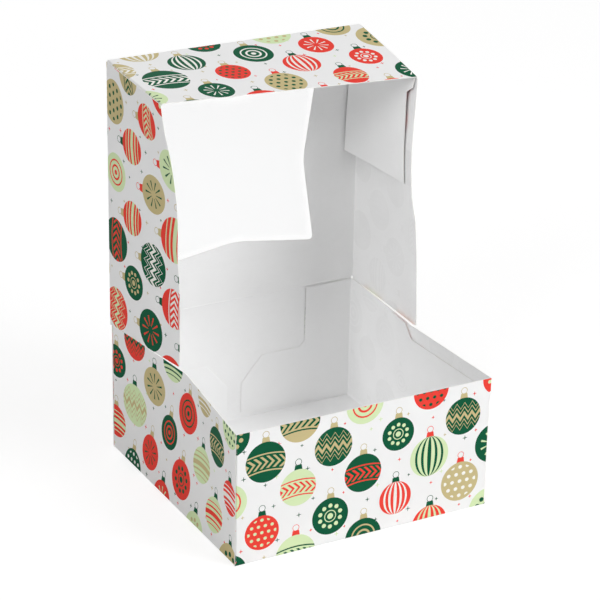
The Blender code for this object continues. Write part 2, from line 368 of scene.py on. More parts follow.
def make_back_wall(board):
    """Goes up from the floor round a fold, with cut ends, to the crease under the lid."""
    rise = spaced((0, ARC, FOLD_STEPS), (ARC, WALL_TOP + FOLD_GAIN, 20))
    first, second = around_fold(rise)
    x = np.linspace(-HALF_WIDTH, HALF_WIDTH, 41)[None, :]
    z = (BOARD / 2 + second)[:, None]
    piece = sheet_object("tray_back", stack(x, WALL_Y + first[:, None], z),
                         stack(x, LID_PRINT - z, on_fold(rise)[:, None]), (0, 1, 0), board)
    place_on(piece, "base", "back_wall")


def make_side_wall(board, hand):
    """Goes up from the floor round a fold and stands in by its lean."""
    side = SIDE_NAMES[hand]
    rise = spaced((0, ARC, FOLD_STEPS), (ARC, RIM + FOLD_GAIN, 50))
    first, second = around_fold(rise)
    y = np.linspace(FRONT + SIDE_SETBACK, BACK_CREASE, 101)[None, :]
    z = (BOARD / 2 + second)[:, None]
    x = hand * (WALL_X + first[:, None] - side_wall_lean(hand, y, z))
    spot = stack(hand * (SIDE_PRINT - y), z, on_fold(rise)[:, None])
    piece = sheet_object(f"tray_{side}", stack(x, y, z), spot, (hand, 0, 0), board)
    place_on(piece, "base", f"{side}_wall")


def tab_ajar(way, share):
    """How far a tray tab stands off its wall: by the share of its height to the power 8, so mostly at its
    top, and not at its fold."""
    return TAB_AJAR * share[None, :] ** 8 * np.clip(way / AJAR_RUN, 0, 1)[:, None]


def make_front_tab(board, hand):
    """Goes round the front wall's end and back along the inside of the side wall, with its lean. Its foot
    ends in a long slope and its upper edge has a step up."""
    side = SIDE_NAMES[hand]
    low, high = frame_box(f"{side}_front_glue_tab")
    foot_length, step_length, step_run, tip_height = 86.0, 100.8, 9.5, 0.3
    foot_end, step, tail = low[1] + foot_length, low[1] + step_length, high[1]
    shoulder = high[2] - SHOULDER_DROP
    arc = CORNER_FOLD * math.pi / 2
    lift = arc - CORNER_FOLD - FRONT_Y
    way = spaced((0, arc, FOLD_STEPS), (arc, foot_end + lift, 24), (foot_end + lift, step + lift, 6),
                 (step + lift, step + step_run + lift, 4), (step + step_run + lift, tail + lift, 8))
    first, second = around_fold(way, CORNER_FOLD)
    y = FRONT_Y + second
    past_foot = np.clip((y - foot_end) / (tail - foot_end), 0, 1)
    foot = TAB_FOOT + (TAB_TOP - TAB_FOOT - tip_height) * past_foot
    top = shoulder + (TAB_TOP - shoulder) * np.clip((y - step) / step_run, 0, 1)
    share = np.linspace(0, 1, 31)
    z = ruled(foot, top, share)
    y = y[:, None]
    x = hand * (TAB_X + first[:, None] - side_wall_lean(hand, y, z) - tab_ajar(way, share))
    across = hand * (TAB_X - CORNER_FOLD + way[:, None])
    piece = sheet_object(f"{side}_front_tab", stack(x, y, z), stack(across, z, on_fold(way)[:, None]),
                         (hand, 0, 0), board)
    place_on(piece, "base", f"{side}_front_glue_tab")


def make_back_tab(board, hand):
    """Goes round from the side wall and across the inside of the back wall: an L whose arm has a chamfered
    end. Its free edges are pressed thin, by the square of how near the edge the place is, and its top stands
    ajar, less at the arm."""
    side = SIDE_NAMES[hand]
    low, high = frame_box(f"{side}_back_glue_tab")
    end = min(abs(low[0]), abs(high[0]))
    neck, shoulder, nick = 61.3, 51.3, 5.0
    chamfer_width, chamfer_height, foot_rise = 18.0, 21.0, 4.5
    stops = WALL_X - np.array([neck, neck - nick, end + chamfer_width, end]) + (ARC - MID_FOLD)
    way = spaced((0, ARC, FOLD_STEPS), (ARC, stops[0] - PRESSED_EDGE, 14),
                 (stops[0] - PRESSED_EDGE, stops[0], 3), (stops[0], stops[0] + HAIR, 1),
                 (stops[0] + HAIR, stops[1], 3), (stops[1], stops[2], 8),
                 (stops[2], stops[3] - PRESSED_EDGE, 6), (stops[3] - PRESSED_EDGE, stops[3], 3))
    in_neck = (way <= stops[0] + HAIR / 2)[:, None]
    first, second = around_fold(way)
    x = WALL_X - second
    slope = np.clip((x - end) / chamfer_width, 0, 1)
    arm_top = shoulder + nick * np.clip((x - neck + nick) / nick, 0, 1) - chamfer_height * (1 - slope)
    top = np.where(in_neck[:, 0], TAB_TOP, arm_top)
    foot = TAB_FOOT + foot_rise * np.clip((WALL_X - x) / (WALL_X - end), 0, 1)
    share = spaced((0, 0.96, 27), (0.96, 1, 4))
    z = ruled(foot, top, share)
    x = x[:, None]
    to_edge = np.minimum(top[:, None] - z, np.where(in_neck & (z > shoulder), x - neck, x - end))
    pressed = PRESSED_SHARE * BOARD * (1 - np.clip(to_edge / PRESSED_EDGE, 0, 1)) ** 2
    ajar = tab_ajar(way, share) * np.where(in_neck, 1, ARM_AJAR)
    y = TAB_Y + first[:, None] + pressed / 2 - ajar
    across, up = BACK_TAB_PRINT
    piece = sheet_object(f"{side}_back_tab", stack(hand * x, y, z),
                         stack(across + hand * x, up + z, on_fold(way)[:, None]), (0, 1, 0), board,
                         thickness=BOARD - pressed)
    place_on(piece, "base", f"{side}_back_glue_tab")


# Lid

def make_lid_crease(board):
    """The strip between the back wall and the lid panel, pressed in from the outside."""
    top = PANEL_LOW[2]
    z = np.linspace(WALL_TOP, top, 7)[:, None]
    x = np.linspace(-HALF_WIDTH, HALF_WIDTH, 41)[None, :]
    pressed = CREASE_DEPTH * np.sin((z - WALL_TOP) / (top - WALL_TOP) * math.pi)
    piece = sheet_object("lid_crease", stack(x, WALL_Y - pressed, z), stack(x, LID_PRINT - z, 1), (0, 1, 0),
                         board)
    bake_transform(piece)


def window_loop():
    """The window's outline about its middle: eight straight cuts between four rounded corners and the four
    middles, which stand in by the notch and are rounded too. Each rounding is a parabola from one cut to the
    next, with its tip towards the corner."""
    far, near = WINDOW_HALF, WINDOW_HALF - WINDOW_NOTCH
    compass = np.array([(-1, -1), (0, -1), (1, -1), (1, 0), (1, 1), (0, 1), (-1, 1), (-1, 0)], float)
    corner = np.abs(compass).sum(1) == 2
    point = compass * np.where(corner, far, near)[:, None]
    cut = np.where(corner, WINDOW_CORNER, WINDOW_BEND)[:, None]
    before, after = np.roll(point, 1, 0) - point, np.roll(point, -1, 0) - point
    start = point + before / np.linalg.norm(before, axis=1, keepdims=True) * cut
    end = point + after / np.linalg.norm(after, axis=1, keepdims=True) * cut
    t = np.linspace(0, 1, 9)[None, :, None]
    bends = (1 - t) ** 2 * start[:, None] + 2 * t * (1 - t) * point[:, None] + t**2 * end[:, None]
    s = np.linspace(0, 1, 8)[None, 1:-1, None]
    cuts = end[:, None] * (1 - s) + np.roll(start, -1, 0)[:, None] * s
    return np.concatenate([bends, cuts], axis=1).reshape(-1, 2)


def make_lid_panel(board):
    """A flat ring between the window's outline and the folds: each station of the outline runs out to the
    place at the same share of the panel's border."""
    inner = window_loop()
    square = inner / np.abs(inner).max(1, keepdims=True)
    reach_up, reach_down = FLAP_Z - MID_FOLD - WINDOW_MIDDLE, WINDOW_MIDDLE - PANEL_LOW[2]
    outer = stack(square[:, 0] * (LID_SIDE_X - MID_FOLD),
                  square[:, 1] * np.where(square[:, 1] > 0, reach_up, reach_down))
    share = np.linspace(0, 1, 13)[None, :, None]
    flat = inner[:, None] * (1 - share) + outer[:, None] * share
    x, z = flat[..., 0], WINDOW_MIDDLE + flat[..., 1]
    piece = sheet_object("lid_top", stack(x, WALL_Y, z), stack(x, LID_PRINT - z, 0), (0, 1, 0), board,
                         ring=True)
    place_on(piece, "lid", "lid_panel")


def make_window_pane(film):
    """A flat pane behind the window. It stands off the board by a bulge that rises from the window's border
    to a level middle, and has slight waves there: two sine ripples that cross. The third number of its place
    is 0 where it lies on the board, and rises to 1 in the open."""
    border, play, bulge, ripple, veil = 30, 0.02, 0.45, 0.22, 6
    x = np.linspace(FILM_LOW[0], FILM_HIGH[0], 49)[:, None]
    z = np.linspace(FILM_LOW[2], FILM_HIGH[2], 49)[None, :]
    up = np.abs(z - WINDOW_MIDDLE)
    inside = np.clip((WINDOW_HALF - np.abs(x)) / border, 0, 1) * np.clip((WINDOW_HALF - up) / border, 0, 1)
    wave = ripple * inside * (np.sin(x / 17 + z / 29) + np.sin(z / 13 - x / 41 + 1))
    mid = stack(x, WALL_Y - (BOARD + FILM) / 2 - play - bulge * inside + wave, z)
    past_side = WINDOW_HALF - WINDOW_NOTCH * (1 - up / WINDOW_HALF) - np.abs(x)
    past_end = WINDOW_HALF - WINDOW_NOTCH * (1 - np.abs(x) / WINDOW_HALF) - up
    free = np.clip(np.minimum(past_side, past_end) / veil, 0, 1)
    piece = sheet_object("window_pane", mid, stack(x, z, free), (0, 1, 0), (film, film, film), thickness=FILM)
    place_on(piece, "lid", "window_film")


def make_lid_folds(board):
    """Quarter-circle strips that join the lid panel to its sides and its flap."""
    way = np.linspace(0, ARC, FOLD_STEPS + 1)
    first, second = around_fold(way)
    first, second, worn = first[None, :], second[None, :], on_fold(way)[None, :]
    z = np.linspace(PANEL_LOW[2], FLAP_Z - MID_FOLD, 41)[:, None]
    for hand, side in SIDE_NAMES.items():
        spot = stack(SIDE_PRINT * hand + z, LID_SIDE_PRINT + WALL_Y - second, worn)
        piece = sheet_object(f"lid_{side}_fold", stack(hand * (LID_SIDE_X + first), WALL_Y - second, z), spot,
                             (hand, 1, 0), board)
        place_on(piece, "lid")
    x = np.linspace(-LID_SIDE_X + MID_FOLD, LID_SIDE_X - MID_FOLD, 41)[:, None]
    piece = sheet_object("lid_flap_fold", stack(x, WALL_Y - second, FLAP_Z + first),
                         stack(x, FLAP_PRINT + LID_CREASE_Y + ARC - way[None, :], worn), (0, 1, 1), board)
    place_on(piece, "lid")


def lid_side_inset(hand, y, z):
    """How far a lid side stands in: the bow of its free edge at that height times the share of the depth
    there, to the bow's power."""
    up = z - HINGE_Z
    depth = SKIRT_AT_HINGE + (SKIRT_AT_FLAP - SKIRT_AT_HINGE) * np.clip(up / LID_LENGTH, 0, 1)
    share = np.clip((LID_CREASE_Y - y) / (depth - MID_FOLD), 0, 1)
    return through(LEFT_BOW if hand < 0 else RIGHT_BOW, up) * share**BOW_POWER


def flap_height(x, y):
    """The flap's middle hangs below the top by its droop, whose slope runs evenly from end to end."""
    share = (x + LID_SIDE_X) / (2 * LID_SIDE_X)
    slope = np.tan(np.radians(LEFT_DROOP)) * (1 - share) + np.tan(np.radians(RIGHT_DROOP)) * share
    return FLAP_Z - slope * np.maximum(LID_CREASE_Y - y, 0)


def make_lid_flap(board):
    """Comes forward from the panel and hangs a little. Its ends go down round the folds to the tabs, and
    stand in as the lid's sides do."""
    half = LID_TAB_X - MID_FOLD
    way = spaced((-ARC, 0, FOLD_STEPS), (0, 2 * half, 50), (2 * half, 2 * half + ARC, FOLD_STEPS))
    from_end = np.where(way < half, -way, way - 2 * half)
    first, second = around_fold(from_end)
    hand = np.where(way < half, -1, 1)
    flat_x = (hand * (LID_TAB_X + first))[:, None]
    y = np.linspace(FLAP_FREE_Y, LID_CREASE_Y, 41)[None, :]
    z = flap_height(flat_x, y)
    inset = np.where(flat_x < 0, lid_side_inset(-1, y, z), lid_side_inset(1, y, z))
    x = flat_x - inset * flat_x / LID_TAB_X
    piece = sheet_object("lid_flap", stack(x, y, z - second[:, None]),
                         stack(flat_x, FLAP_PRINT + y, on_fold(from_end)[:, None]), (0, 0, 1), board)
    place_on(piece, "lid", "lid_front_flap", ((0, 0, 1), (0, 0, LID_TOP)))


def make_lid_side(board, hand):
    """Stands forward from the panel with its inset. It is less deep towards the flap, and its free corners
    are quarter circles. Its lower end starts just under the hinge and rises forward, and its upper end
    follows the hanging flap."""
    side = SIDE_NAMES[hand]
    corner = 2.0
    up = spaced((0, 0.02, 8), (0.02, 0.98, 72), (0.98, 1, 8))
    forward = np.linspace(0, 1, 41)
    from_end = np.minimum(up, 1 - up) * LID_LENGTH
    rounding = corner - np.sqrt(np.maximum(corner**2 - np.maximum(corner - from_end, 0) ** 2, 0))
    depth = SKIRT_AT_HINGE + (SKIRT_AT_FLAP - SKIRT_AT_HINGE) * up - rounding
    depth = MID_FOLD + (depth - MID_FOLD)[:, None] * forward[None, :]
    y = WALL_Y - depth
    start, rise, power = LEFT_FOOT if hand < 0 else RIGHT_FOOT
    low = HINGE_Z + start + rise * ((depth - MID_FOLD) / SKIRT_AT_HINGE) ** power
    high = flap_height(hand * LID_SIDE_X, y) - FLAP_CLEARANCE
    z = low + (high - low) * up[:, None]
    x = hand * (LID_SIDE_X - lid_side_inset(hand, y, z))
    spot = stack(SIDE_PRINT * hand + z, LID_SIDE_PRINT + y, 0)
    piece = sheet_object(f"lid_side_{side}", stack(x, y, z), spot, (hand, 0, 0), board)
    place_on(piece, "lid", f"lid_{side}_side",
             ((1, 0, 0), (hand * (LID_SIDE_X + BOARD / 2), 0, 0)))


def make_lid_tab(board, hand):
    """Hangs from the flap's end inside the lid's side. Its free edge is full width at the flap, steps back,
    and then comes forward slowly, along the side. From that edge to the rear one it stands off the side
    evenly more. Above the step its height is shared out between the step and the hanging flap."""
    side = SIDE_NAMES[hand]
    low, high = frame_box(f"lid_{side}_glue_tab")
    neck_length, ledge_length, margin = 17.0, 27.5, 1.0
    crease, tail = high[2], low[2] + margin
    neck, ledge = crease - neck_length, crease - ledge_length
    back_at_tail, back_at_ledge = 3.8, 7.2
    level = spaced((crease, neck, 8), (neck, ledge, 5), (ledge, tail, 32))
    free = low[1] + margin + np.interp(level, (tail, ledge, neck), (back_at_tail, back_at_ledge, 0))
    y = ruled(free, np.full(len(free), high[1]), np.linspace(0, 1, 31))
    level, free = level[:, None], free[:, None]
    top = flap_height(hand * LID_TAB_X, y) - MID_FOLD
    z = np.minimum(level, ledge) + (top - ledge) * np.clip((level - ledge) / (crease - ledge), 0, 1)
    standoff = through(TAB_STANDOFF, crease - level) * (y - free) / (high[1] - free)
    standoff = standoff + through(TAB_SLIT, crease - level) * (hand > 0)
    x = hand * (LID_TAB_X - lid_side_inset(hand, y, z) - standoff)
    piece = sheet_object(f"lid_tab_{side}", stack(x, y, z), stack(LID_TAB_PRINT + y, LID_TAB_PRINT + z, 0),
                         (hand, 0, 0), board)
    place_on(piece, "lid", f"lid_{side}_glue_tab",
             ((1, 0, 0), (hand * (LID_TAB_X + BOARD / 2), 0, 0)))


# Materials

def ink(red, green, blue):
    """A colour given as it looks on a screen, from 0 to 255, as the light it gives back."""
    shown = np.array([red, green, blue]) / 255
    return (*np.where(shown <= 0.04045, shown / 12.92, ((shown + 0.055) / 1.055) ** 2.4), 1)


PAPER = ink(243, 243, 243)
RED, GREEN = ink(237, 71, 61), ink(24, 90, 62)
PALE, TAN = ink(216, 234, 186), ink(202, 187, 139)
WHITE_INK = ink(244, 243, 236)
BARE = ink(240, 239, 236)  # the board in a cracked fold
INSIDE, CUT = ink(251, 251, 251), ink(247, 246, 243)
FILM_TINT = ink(214, 216, 218)
TABLE_WHITE = ink(243, 243, 243)
FULL_WHITE = (1, 1, 1, 1)
FLAT = (1.0, 1.0, 0.0)  # takes out a place's third number, which tells how near a fold it is


class Wiring:
    """Adds nodes to one tree. Each call gives the new node's output, and takes numbers or other outputs."""

    def __init__(self, tree):
        self.tree = tree

    def join(self, value, socket):
        if isinstance(value, bpy.types.NodeSocket):
            self.tree.links.new(value, socket)
        elif value is not None:
            socket.default_value = value

    def feed(self, node, **values):
        """Joins values to a node's sockets by name, with _ for a space, and gives the node's outputs."""
        for name, value in values.items():
            self.join(value, node.inputs[name.replace("_", " ")])
        return node.outputs

    def node(self, kind, *values, **settings):
        node = self.tree.nodes.new(f"ShaderNode{kind}")
        for name, setting in settings.items():
            setattr(node, name, setting)
        for value, socket in zip(values, node.inputs):
            self.join(value, socket)
        return node

    def math(self, operation, *values):
        return self.node("Math", *values, operation=operation).outputs[0]

    def minus(self, value, less):
        return self.math("SUBTRACT", value, less)

    def times(self, value, factor):
        return self.math("MULTIPLY", value, factor)

    def vector(self, operation, *values):
        node = self.node("VectorMath", *values, operation=operation)
        return node.outputs["Value" if operation in ("LENGTH", "DISTANCE", "DOT_PRODUCT") else "Vector"]

    def scale(self, vector, factor):
        vector = vector if isinstance(vector, bpy.types.NodeSocket) else vector[:3]
        node = self.node("VectorMath", vector, operation="SCALE")
        return self.feed(node, Scale=factor)["Vector"]

    def parts(self, vector):
        return self.node("SeparateXYZ", vector).outputs[:]

    def whole(self, *parts):
        return self.node("CombineXYZ", *parts).outputs[0]

    def mixed(self, share, low, high):
        node = self.node("Mix", data_type="RGBA")
        for value, number in ((share, 0), (low, 6), (high, 7)):
            self.join(value, node.inputs[number])
        return node.outputs[2]

    def spread(self, value, low, high, to_low=0.0, to_high=1.0):
        return self.node("MapRange", value, low, high, to_low, to_high).outputs[0]

    def steps(self, value, *stops):
        """A ramp that holds each stop's colour up to the next: (start, colour or grey) from start 0 on."""
        node = self.node("ValToRGB", value)
        ramp = node.color_ramp
        ramp.interpolation = "CONSTANT"
        while len(ramp.elements) < len(stops):
            ramp.elements.new(0.5)
        for element, (start, colour) in zip(ramp.elements, stops):
            element.position = start
            element.color = colour if isinstance(colour, tuple) else (colour, colour, colour, 1)
        return node.outputs["Color"]

    def noise(self, vector, scale, detail=2.0, roughness=0.5):
        node = self.node("TexNoise")
        return self.feed(node, Vector=vector, Scale=scale, Detail=detail, Roughness=roughness)["Fac"]

    def chance(self, vector):
        """Three even random numbers for each whole place."""
        node = self.node("TexWhiteNoise", vector, noise_dimensions="3D")
        return self.parts(node.outputs["Color"])


def new_group(name, takes, gives):
    """An empty node group: takes and gives are (name, kind, start value)."""
    tree = bpy.data.node_groups.new(name, "ShaderNodeTree")
    for label, kind, value in takes:
        socket = tree.interface.new_socket(label, in_out="INPUT", socket_type=f"NodeSocket{kind}")
        if value is not None:
            socket.default_value = value
    for label, kind in gives:
        tree.interface.new_socket(label, in_out="OUTPUT", socket_type=f"NodeSocket{kind}")
    return tree, tree.nodes.new("NodeGroupInput"), tree.nodes.new("NodeGroupOutput")


# The ornaments and the marks between them, in millimetres
ORNAMENT_CELL = (53.0, 52.0, 1.0)
ORNAMENT_ASIDE, ORNAMENT_UP = (-1.8, 1.8), (-4.5, -1.0)  # how far from its cell's middle one stands
ORNAMENT_RADIUS = (12.6, 16.8)
CAP_TAPER, CAP_HALF = -0.16, 3.1  # half the width of a cap: how it goes with the height, and at its foot
RING_HEIGHT, RING_RADIUS, RING_HALF = 5.6, 2.4, 0.22  # the ring above a cap, and half its line's width
MARK_ASIDE = (-2.6, 2.6)
MARK_REACH = (1.1, 2.0)  # from a mark's middle to its tips
MARK_HALF = (0.42, 0.1)  # half the width of its arms, in the middle and at the tips
RAYS = 10  # the number of rays, and of dots in a wreath


def ornament_motif(w, x, y, chance):
    """One of eight plain motifs on a ball of radius 1, as a mask: bent bands, a zigzag, polka dots, rings,
    meridians, a striped belt, rays, or a wreath of dots."""
    far = w.vector("LENGTH", w.whole(x, y, 0.0))
    around = w.math("ARCTAN2", y, x)
    bent = w.math("ABSOLUTE", w.math("MULTIPLY_ADD", w.times(x, x), 0.14, y))
    bands = w.steps(bent, (0, 1), (0.13, 0), (0.3, 1), (0.4, 0), (0.6, 1), (0.66, 0))
    tooth = w.math("PINGPONG", w.math("ADD", x, 5.0), 0.22)
    off_zigzag = w.math("ABSOLUTE", w.math("MULTIPLY_ADD", w.minus(tooth, 0.11), -1.5, y))
    zigzag = w.steps(off_zigzag, (0, 1), (0.11, 0), (0.29, 1), (0.36, 0), (0.55, 1), (0.59, 0))
    row = w.times(y, 2.7)
    shifted = w.math("MULTIPLY_ADD", w.math("ROUND", row), 0.5, w.times(x, 2.5))
    off_dot = w.whole(w.minus(shifted, w.math("ROUND", shifted)), w.minus(row, w.math("ROUND", row)), 0.0)
    off_dot = w.vector("LENGTH", off_dot)
    dots = w.times(w.math("LESS_THAN", off_dot, 0.25), w.math("LESS_THAN", far, 0.85))
    rings = w.steps(far, (0, 1), (0.13, 0), (0.3, 1), (0.41, 0), (0.6, 1), (0.68, 0))
    half_chord = w.math("SQRT", w.math("MAXIMUM", w.minus(1.0, w.times(y, y)), 0.01))
    meridians = w.steps(w.math("ABSOLUTE", w.math("DIVIDE", x, half_chord)),
                        (0, 1), (0.1, 0), (0.29, 1), (0.43, 0), (0.62, 1), (0.74, 0))
    stripes = w.math("LESS_THAN", w.math("FRACT", w.times(w.math("ADD", x, bent), 3.1)), 0.45)
    belt = w.times(w.math("LESS_THAN", bent, 0.3), stripes)
    belt = w.math("MAXIMUM", belt, w.steps(bent, (0, 0), (0.38, 1), (0.45, 0)))
    turn = w.math("FRACT", w.times(around, RAYS / math.tau))
    turn = w.math("ABSOLUTE", w.minus(turn, 0.5))
    ray = w.math("LESS_THAN", w.times(turn, far), w.spread(far, 0.2, 0.7, 0.02, 0.085))
    rays = w.times(ray, w.steps(far, (0, 0), (0.2, 1), (0.7, 0)))
    arc_off = w.times(turn, w.times(far, math.tau / RAYS))
    bead = w.vector("LENGTH", w.whole(arc_off, w.minus(far, 0.58), 0.0))
    wreath = w.math("MAXIMUM", w.math("LESS_THAN", bead, 0.115),
                    w.steps(far, (0, 1), (0.16, 0), (0.28, 1), (0.33, 0)))
    motifs = (bands, zigzag, dots, rings, meridians, belt, rays, wreath)
    choice = w.math("FLOOR", w.times(chance, len(motifs) - 0.001))
    mask = 0.0
    for number, motif in enumerate(motifs):
        chosen = w.math("COMPARE", choice, float(number), 0.4)
        mask = w.math("MULTIPLY_ADD", motif, chosen, mask)
    return mask


def lattice_cell(w, place, cell_size, shift, seed, aside_by, up_by):
    """The cell of a lattice that a place is in: its middle, with the seed as the third number, and how far
    across and up the place is from a point that chance puts near that middle. The last of the cell's three
    random numbers is left for other uses."""
    spot = w.vector("MULTIPLY", w.vector("DIVIDE", w.vector("ADD", place, shift), cell_size), FLAT)
    cell = w.vector("ADD", w.vector("FLOOR", spot), (0.5, 0.5, seed))
    aside, upward, spare = w.chance(cell)
    local = w.vector("MULTIPLY", w.vector("SUBTRACT", spot, cell), cell_size)
    point = w.whole(w.spread(aside, 0.0, 1.0, *aside_by), w.spread(upward, 0.0, 1.0, *up_by), 0.0)
    x, y = w.parts(w.vector("SUBTRACT", local, point))[:2]
    return cell, x, y, spare


def ornament_lattice(w, place, under, shift, seed):
    """Round ornaments, one in each cell of a lattice, drawn over the colour under: chance gives each one its
    place, radius, colours and motif."""
    cell, x, y, size = lattice_cell(w, place, ORNAMENT_CELL, shift, seed, ORNAMENT_ASIDE, ORNAMENT_UP)
    base, other, motif = w.chance(w.vector("ADD", cell, (0.0, 0.0, 7.0)))
    radius = w.spread(size, 0.0, 1.0, *ORNAMENT_RADIUS)
    far = w.vector("LENGTH", w.whole(x, y, 0.0))

    body = w.steps(base, (0, RED), (0.3, GREEN), (0.55, PALE), (0.78, TAN))
    first = w.steps(base, (0, PALE), (0.15, GREEN), (0.3, RED), (0.42, PALE), (0.55, GREEN), (0.66, RED),
                    (0.78, WHITE_INK))
    second = w.steps(base, (0, WHITE_INK), (0.15, PALE), (0.3, WHITE_INK), (0.42, TAN), (0.55, GREEN),
                     (0.66, TAN), (0.78, GREEN))
    cap_colour = w.steps(base, (0, GREEN), (0.17, TAN), (0.55, RED), (0.66, GREEN), (0.78, GREEN),
                         (0.87, RED))

    height = w.minus(y, radius)
    half_cap = w.math("MULTIPLY_ADD", height, CAP_TAPER, CAP_HALF)
    cap = w.times(w.math("LESS_THAN", w.math("ABSOLUTE", x), half_cap),
                  w.steps(w.spread(height, -1.0, 9.0), (0, 1), (0.45, 0)))
    cap = w.times(cap, w.math("GREATER_THAN", y, 0.0))
    ring = w.vector("LENGTH", w.whole(x, w.minus(height, RING_HEIGHT), 0.0))
    ring = w.math("LESS_THAN", w.math("ABSOLUTE", w.minus(ring, RING_RADIUS)), RING_HALF)
    colour = w.mixed(w.math("MAXIMUM", cap, ring), under, cap_colour)
    ball = w.math("LESS_THAN", far, radius)
    colour = w.mixed(ball, colour, body)
    mask = ornament_motif(w, w.math("DIVIDE", x, radius), w.math("DIVIDE", y, radius), motif)
    picked = w.mixed(w.math("GREATER_THAN", other, 0.5), first, second)
    return w.mixed(w.times(mask, ball), colour, picked)


def scattered_marks(w, place, under, cell_size, shift, seed):
    """Small plus marks between the ornaments, one in each cell of a lattice, drawn over the colour under:
    chance gives each one its place, size and colour."""
    x, y, tint = lattice_cell(w, place, cell_size, shift, seed, MARK_ASIDE, MARK_ASIDE)[1:]
    x, y = w.math("ABSOLUTE", x), w.math("ABSOLUTE", y)
    reach = w.spread(w.math("FRACT", w.times(tint, 7.0)), 0.0, 1.0, *MARK_REACH)
    near, wide = w.math("MINIMUM", x, y), w.math("MAXIMUM", x, y)
    taper = w.spread(w.math("DIVIDE", wide, reach), 0.0, 1.0, *MARK_HALF)
    mark = w.times(w.math("LESS_THAN", near, taper), w.math("LESS_THAN", wide, reach))
    colour = w.steps(tint, (0, RED), (0.4, GREEN), (0.7, TAN), (0.9, PALE))
    return w.mixed(mark, under, colour)


def make_print_group():
    """The board's printing by its own place in millimetres: small marks, and over them two lattices of
    ornaments, the second one in the middles of the first one's gaps."""
    takes = [("Place", "Vector", None), ("Paper", "Color", PAPER)]
    tree, given, result = new_group("ornament_print", takes, [("Color", "Color")])
    w = Wiring(tree)
    place = given.outputs["Place"]
    colour = given.outputs["Paper"]
    half = (ORNAMENT_CELL[0] / 2, ORNAMENT_CELL[1] / 2, 1.0)
    for shift, seed in (((11.0, 9.0, 0.0), 20.0), ((4.0, 1.0, 0.0), 31.0)):
        colour = scattered_marks(w, place, colour, half, shift, seed)
    for shift, seed in (((0.0, 0.0, 0.0), 0.0), ((half[0], half[1], 0.0), 3.0)):
        colour = ornament_lattice(w, place, colour, shift, seed)
    w.feed(result, Color=colour)
    return tree


def make_grain_group():
    """Paperboard's grain by place in millimetres: cloudy unevenness, fibres that run along the board, and
    fine felt. Tone is near 1 and multiplies a colour; Height is for a bump."""
    takes = [("Place", "Vector", None), ("Strength", "Float", 1.0)]
    tree, given, result = new_group("board_grain", takes, [("Tone", "Float"), ("Height", "Float")])
    w = Wiring(tree)
    place, strength = given.outputs["Place"], given.outputs["Strength"]
    clouds = w.noise(place, 0.035, 3.0)
    fibres = w.noise(w.vector("MULTIPLY", place, (0.35, 2.2, 1.0)), 1.0, 4.0, 0.65)
    felt = w.noise(place, 3.2, 2.0)
    both = w.math("MULTIPLY_ADD", felt, 0.5, fibres)
    fine = w.times(w.minus(both, 0.75), 0.35)
    uneven = w.math("MULTIPLY_ADD", w.minus(clouds, 0.5), 0.9, fine)
    w.feed(result, Tone=w.math("MULTIPLY_ADD", uneven, w.times(strength, 0.12), 1.0),
           Height=w.math("MULTIPLY_ADD", clouds, 3.0, both))
    return tree


def make_wear_group():
    """Where a fold has cracked the print: Worn is 1 on broken flecks along the fold's middle. Fold is how
    near the middle of a fold the place is."""
    takes = [("Place", "Vector", None), ("Fold", "Float", 0.0)]
    tree, given, result = new_group("fold_wear", takes, [("Worn", "Float")])
    w = Wiring(tree)
    flecks = w.noise(w.vector("MULTIPLY", given.outputs["Place"], FLAT), 1.1, 4.0, 0.7)
    ragged = w.times(given.outputs["Fold"], w.spread(flecks, 0.38, 0.62))
    w.feed(result, Worn=w.spread(ragged, 0.35, 0.9, 0.0, 0.75))
    return tree


print_group, grain_group, wear_group = make_print_group(), make_grain_group(), make_wear_group()


def group_node(w, group, **values):
    return w.feed(w.node("Group", node_tree=group), **values)


def new_material(name, **settings):
    """A material with its shader and wiring: settings are values of the shader's own sockets."""
    material = bpy.data.materials.new(name)
    material.use_nodes = True
    shader = material.node_tree.nodes["Principled BSDF"]
    w = Wiring(material.node_tree)
    w.feed(shader, **settings)
    return material, shader, w


def board_place(w):
    """A point's own place on the flat board, as kept on the mesh."""
    return w.node("Attribute", attribute_name="board_place").outputs["Vector"]


def bumped(w, shader, height, strength, distance):
    bump = w.feed(w.node("Bump"), Strength=strength, Distance=distance, Height=height)
    w.feed(shader, Normal=bump["Normal"])


def make_printed_face():
    """The outside: print on coated white board, nearly matt, with faint clouds, and flecks of white where the
    folds have cracked it."""
    material, shader, w = new_material("printed_face", Roughness=0.5, Specular_IOR_Level=0.01)
    place = board_place(w)
    colour = group_node(w, print_group, Place=place, Paper=PAPER)["Color"]
    grain = group_node(w, grain_group, Place=place, Strength=0.35)
    worn = group_node(w, wear_group, Place=place, Fold=w.parts(place)[2])["Worn"]
    colour = w.mixed(worn, colour, BARE)
    w.feed(shader, Base_Color=w.scale(colour, grain["Tone"]), Roughness=w.spread(worn, 0.0, 1.0, 0.42, 0.8))
    bumped(w, shader, grain["Height"], 0.25, 0.00004)
    return material


def make_white_face(name, backlit_ghost):
    """The unprinted inside: white matt board with fibres and clouds. The print on the other face shows
    through faintly, as painted shade of that print in light that shines through the board from outside; how
    strong is given for each material."""
    material, shader, w = new_material(name, Roughness=0.8, Specular_IOR_Level=0.06)
    place = board_place(w)
    grain = group_node(w, grain_group, Place=place, Strength=0.8)
    colour = INSIDE
    if backlit_ghost:
        print_behind = group_node(w, print_group, Place=place, Paper=FULL_WHITE)["Color"]
        brightness = w.node("RGBToBW", print_behind).outputs[0]
        colour = w.scale(INSIDE, w.spread(brightness, 0.0, 1.0, 1.0 - backlit_ghost, 1.0))
    w.feed(shader, Base_Color=w.scale(colour, grain["Tone"]))
    bumped(w, shader, grain["Height"], 0.35, 0.00005)
    return material


